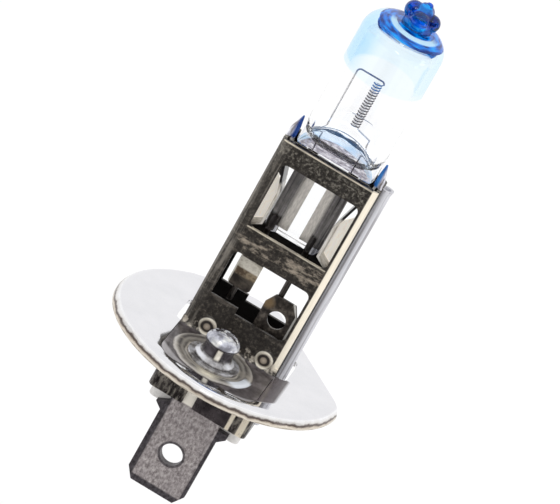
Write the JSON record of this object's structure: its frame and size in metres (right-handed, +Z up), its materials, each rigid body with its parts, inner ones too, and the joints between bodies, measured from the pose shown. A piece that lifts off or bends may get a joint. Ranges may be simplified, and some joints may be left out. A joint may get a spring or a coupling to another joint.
{
  "type": "headlight bulb",
  "caption": "Halogen headlight bulb: a blue-tinted quartz bulb in a windowed metal sleeve on a round flange with a flat, over a ceramic block with one blade terminal.",
  "frame": {"origin": "centre of the round flange, on its bulb-side face, which is the lamp's reference plane", "axes": "+Z up the lamp axis towards the glass tip, -Y towards the rivet and the blade side, +X to the right seen from that side"},
  "size_m": [0.0248, 0.0248, 0.0568],
  "materials": {
    "flange_steel": "bright nickel plate, smooth, soft reflections",
    "sleeve_steel": "dull nickel plate, finely scratched, bright cut edges",
    "spring_steel": "bright spring strip",
    "quartz": "clear quartz, with a thin pale blue coat on the top third",
    "blue_tip": "deep blue coated quartz",
    "tungsten": "dark drawn wire",
    "molybdenum": "grey metal foil and wire",
    "contact_steel": "heat-tinted plated strip",
    "rivet_steel": "bright upset rivet",
    "blade_steel": "grey tin plate with a fine grain",
    "insulator": "matt steatite ceramic"
  },
  "bodies": {
    "root": {"mounting_flange": "flange_steel", "holder_sleeve": "sleeve_steel", "left_pinch_clip": "spring_steel", "right_pinch_clip": "spring_steel", "quartz_envelope": "quartz", "exhaust_tip": "blue_tip", "filament_coil": "tungsten", "long_filament_leg": "molybdenum", "short_filament_leg": "molybdenum", "left_foil": "molybdenum", "right_foil": "molybdenum", "left_outer_lead": "molybdenum", "right_outer_lead": "molybdenum", "ground_tab": "contact_steel", "contact_strip": "contact_steel", "contact_rivet": "rivet_steel", "rivet_washer": "rivet_steel", "insulator_block": "insulator", "insulator_band": "sleeve_steel", "blade_terminal": "blade_steel"}
  },
  "joints": []
}
